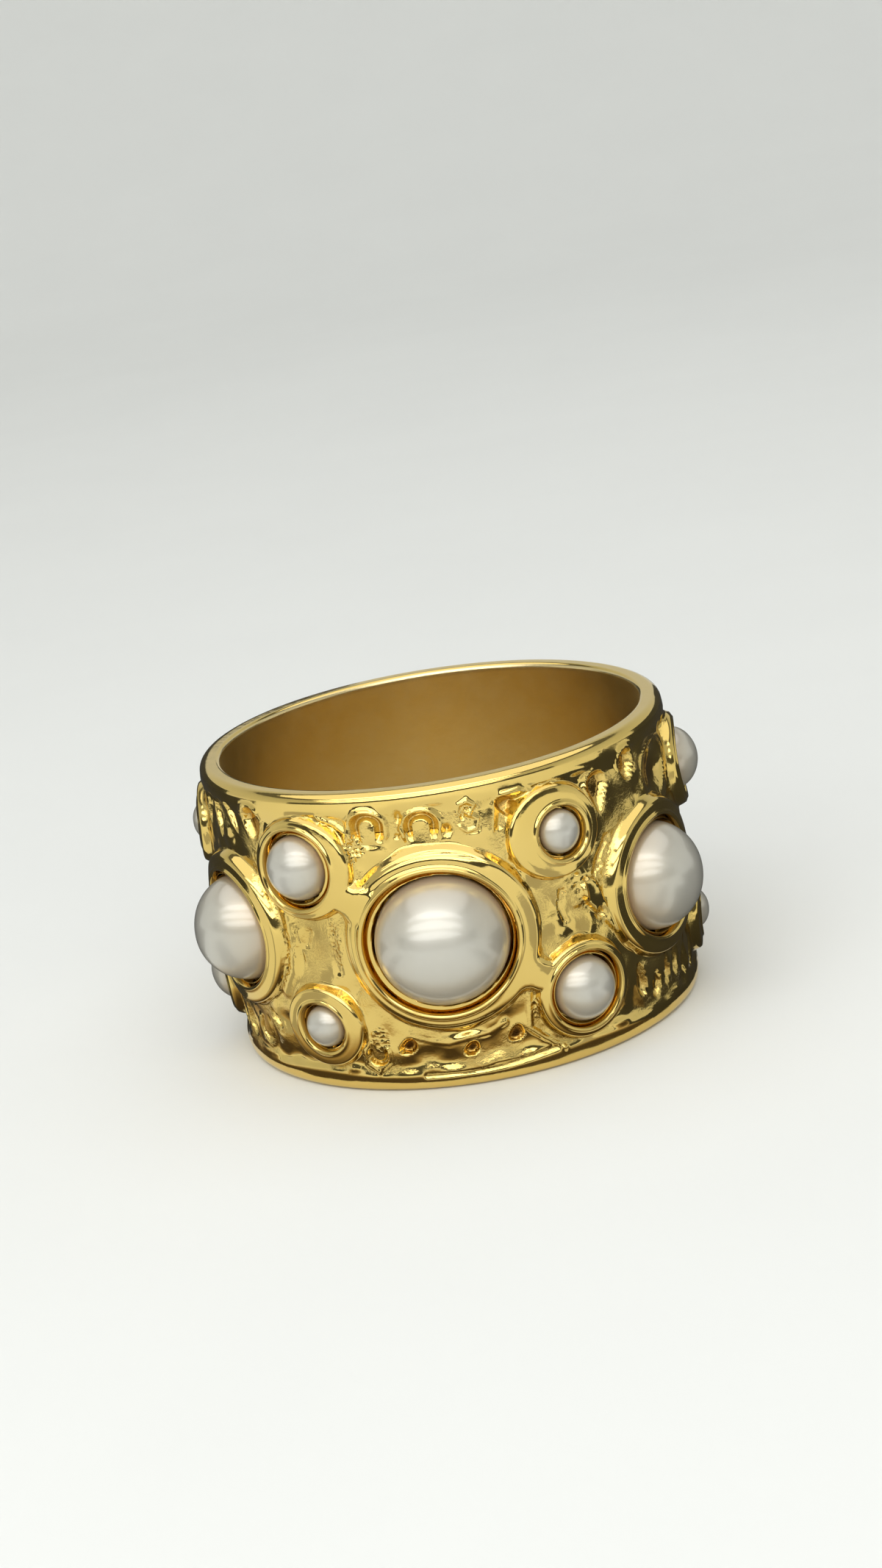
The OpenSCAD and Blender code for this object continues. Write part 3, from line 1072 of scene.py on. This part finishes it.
def plain_material(name, color, roughness):
    """Matt paint with hardly any drift, for the stage."""
    finish = Finish(name)
    darker = tuple(part * 0.985 for part in color)
    drift = finish.noise(scale=60, detail=4)
    paint = finish.ramp(drift, [(0.3, darker), (0.7, color)])
    finish.surface(Base_Color=paint, Roughness=roughness, Specular_IOR_Level=0.0)
    return finish.material


# Pieces
gold = gold_material()
pearl_finish = pearl_material()

band = build_band()
band.data.materials.append(gold)
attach(band, "root")
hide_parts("band")

for number, seat in enumerate(SEATS):
    pearl = build_pearl(seat, PEARL_SEED + number)
    pearl.data.materials.append(pearl_finish)
    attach(pearl, "root")
    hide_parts(seat.name)

# Stage
FLOOR_Z = -HALF_W
# The floor runs flat to this distance, then sweeps up into a round backdrop
FLAT_R = 260
SWEEP_R = 240
BACKDROP_TOP = 420
FLOOR_COLOR = (0.78, 0.79, 0.765)
ROUND_STEPS = 96
SWEEP_STEPS = 16
# The shade that reflections see round the ring is dark up to the first distance and gone at the second
SHADE_DARK_R = 11.4
SHADE_END_R = 15.5
SHADE_TONES = [(0.0, (0.05, 0.032, 0.014)), (0.45, (0.40, 0.31, 0.19)), (1.0, FLOOR_COLOR)]
SHADE_Z = FLOOR_Z + 0.05

# Dark and grey cards that only reflections see, bent round the ring: two angles; one (distance, height)
# edge and the other; and the shade
Card = namedtuple("Card", "name start end near far shade")
CARD_STEPS = 24
CARD_Z = FLOOR_Z + 0.1
CARD_R = RIM_R + 0.5
CARDS = [
    Card("flag_left", -89, -172, (CARD_R, CARD_Z), (100, CARD_Z), 0.05),
    Card("flag_right_near", 55, 172, (CARD_R, CARD_Z), (30, CARD_Z), 0.05),
    Card("flag_right_far", 70, 172, (30, CARD_Z), (100, CARD_Z), 0.05),
    Card("upright_left", -112, -172, (100, CARD_Z), (100, 30), 0.06),
    Card("upright_right", 112, 166, (100, CARD_Z), (100, 30), 0.06),
    Card("bar_left", -66, -50, (14, CARD_Z), (44, CARD_Z), 0.42),
    Card("bar_right", 32, 46, (14, CARD_Z), (44, CARD_Z), 0.42),
    Card("flag_front", -70, 60, (130, 4), (130, 36), 0.1),
]

# Three long strips of light stand one over the other, moved up by these, and show as bands in the pearls
KEY_SHIFTS = (-80, 0, 80)


def turned(name, section, turn, closed):
    """A surface turned round the axis through some angles, from (distance, height) pairs."""
    rows = np.arange(len(section) * len(turn)).reshape(len(section), len(turn))
    if closed:
        rows = np.concatenate([rows, rows[:, :1]], 1)
    return make_object(name, np.concatenate([place(turn, r, z) for r, z in section]), quads(rows))


def lathe(name, section):
    """An open surface turned once round the axis, from (distance, height) pairs."""
    turn = np.linspace(0, 2 * math.pi, ROUND_STEPS, endpoint=False) + math.pi / 2
    return turned(name, section, turn, closed=True)


def build_floor():
    """A pale floor that rises into a seamless backdrop on all sides."""
    section = [(0.01, FLOOR_Z), (40, FLOOR_Z), (FLAT_R, FLOOR_Z)]
    for step in range(1, SWEEP_STEPS + 1):
        angle = math.radians(90 * step / SWEEP_STEPS)
        section.append((FLAT_R + SWEEP_R * math.sin(angle), FLOOR_Z + SWEEP_R * (1 - math.cos(angle))))
    section.append((FLAT_R + SWEEP_R, BACKDROP_TOP))
    floor = lathe("floor", section)
    floor.data.materials.append(plain_material("pale_floor", FLOOR_COLOR, 0.7))


def show_in_reflections_only(card):
    """Hides a card of the stage from all rays but glossy ones."""
    card.visible_camera = False
    card.visible_diffuse = False
    card.visible_shadow = False
    card.visible_transmission = False


def add_card(card):
    """A card bent round the ring between two angles, from one edge to the other."""
    turn = np.radians(np.linspace(card.start, card.end, CARD_STEPS + 1))
    sheet = turned(card.name, (card.near, card.far), turn, closed=False)
    sheet.data.materials.append(plain_material(card.name + "_paint", (card.shade,) * 3, 0.9))
    show_in_reflections_only(sheet)


def add_floor_shade():
    """A dark ring on the floor, close round the band, that only reflections see. It fades outwards."""
    ring = lathe("floor_shade", [(RIM_R + 0.6, SHADE_Z), (SHADE_END_R, SHADE_Z)])
    finish = Finish("floor_shade_paint")
    away = finish.node("VectorMath")
    away.operation = "LENGTH"
    finish.join(away.inputs[0], finish.where)
    near = math.hypot(SHADE_DARK_R, SHADE_Z) * MM
    far = math.hypot(SHADE_END_R, SHADE_Z) * MM
    share = finish.remap(away.outputs["Value"], near, far)
    finish.surface(Base_Color=finish.ramp(share, SHADE_TONES), Roughness=0.9)
    ring.data.materials.append(finish.material)
    show_in_reflections_only(ring)


def add_light(name, at, size, radiance, shift_up=0.0):
    """A soft oval light that faces the ring, then is moved up its own plane. Sizes are in millimetres."""
    data = bpy.data.lights.new(name, "AREA")
    data.shape = "ELLIPSE"
    data.size = size[0] * MM
    data.size_y = size[1] * MM
    data.energy = radiance * math.pi * (math.pi / 4 * data.size * data.size_y)
    light = bpy.data.objects.new(name, data)
    aim = (-Vector(at)).to_track_quat("-Z", "Y").to_matrix().to_4x4()
    shift = Matrix.Translation((0, shift_up * MM, 0))
    light.matrix_world = Matrix.Translation(Vector(at) * MM) @ aim @ shift
    light.visible_camera = False
    bpy.context.scene.collection.objects.link(light)


def set_world(color, strength):
    world = bpy.data.worlds.new("studio")
    world.use_nodes = True
    background = world.node_tree.nodes["Background"]
    background.inputs["Color"].default_value = (*color, 1)
    background.inputs["Strength"].default_value = strength
    bpy.context.scene.world = world


def add_camera(at, aim, roll, lens):
    """A camera at a point, looking at another, turned about its own axis. Points are in millimetres."""
    data = bpy.data.cameras.new("camera")
    data.sensor_width = 36
    data.sensor_fit = "AUTO"
    data.lens = lens
    data.clip_start = 0.005
    data.clip_end = 20
    camera = bpy.data.objects.new("camera", data)
    back = (Vector(at) - Vector(aim)).normalized()
    level = Vector((0, 0, 1)).cross(back).normalized()
    up = back.cross(level)
    right = level * math.cos(roll) + up * math.sin(roll)
    top = up * math.cos(roll) - level * math.sin(roll)
    basis = Matrix((right, top, back)).transposed().to_4x4()
    camera.matrix_world = Matrix.Translation(Vector(at) * MM) @ basis
    bpy.context.scene.collection.objects.link(camera)
    bpy.context.scene.camera = camera


build_floor()
set_world(color=(0.95, 0.97, 0.96), strength=0.14)
for number, shift in enumerate(KEY_SHIFTS):
    add_light("key_%d" % number, at=(-30, -200, 160), size=(490, 60), radiance=2.6, shift_up=shift)
add_light("overhead", at=(0, 0, 450), size=(800, 800), radiance=1.1)
add_floor_shade()
for card in CARDS:
    add_card(card)
bpy.context.scene.view_settings.view_transform = "Standard"
add_camera(at=(10.1, -120.0, 38.0), aim=(0.11, 0, 3.64), roll=math.radians(-9.25), lens=66.38)
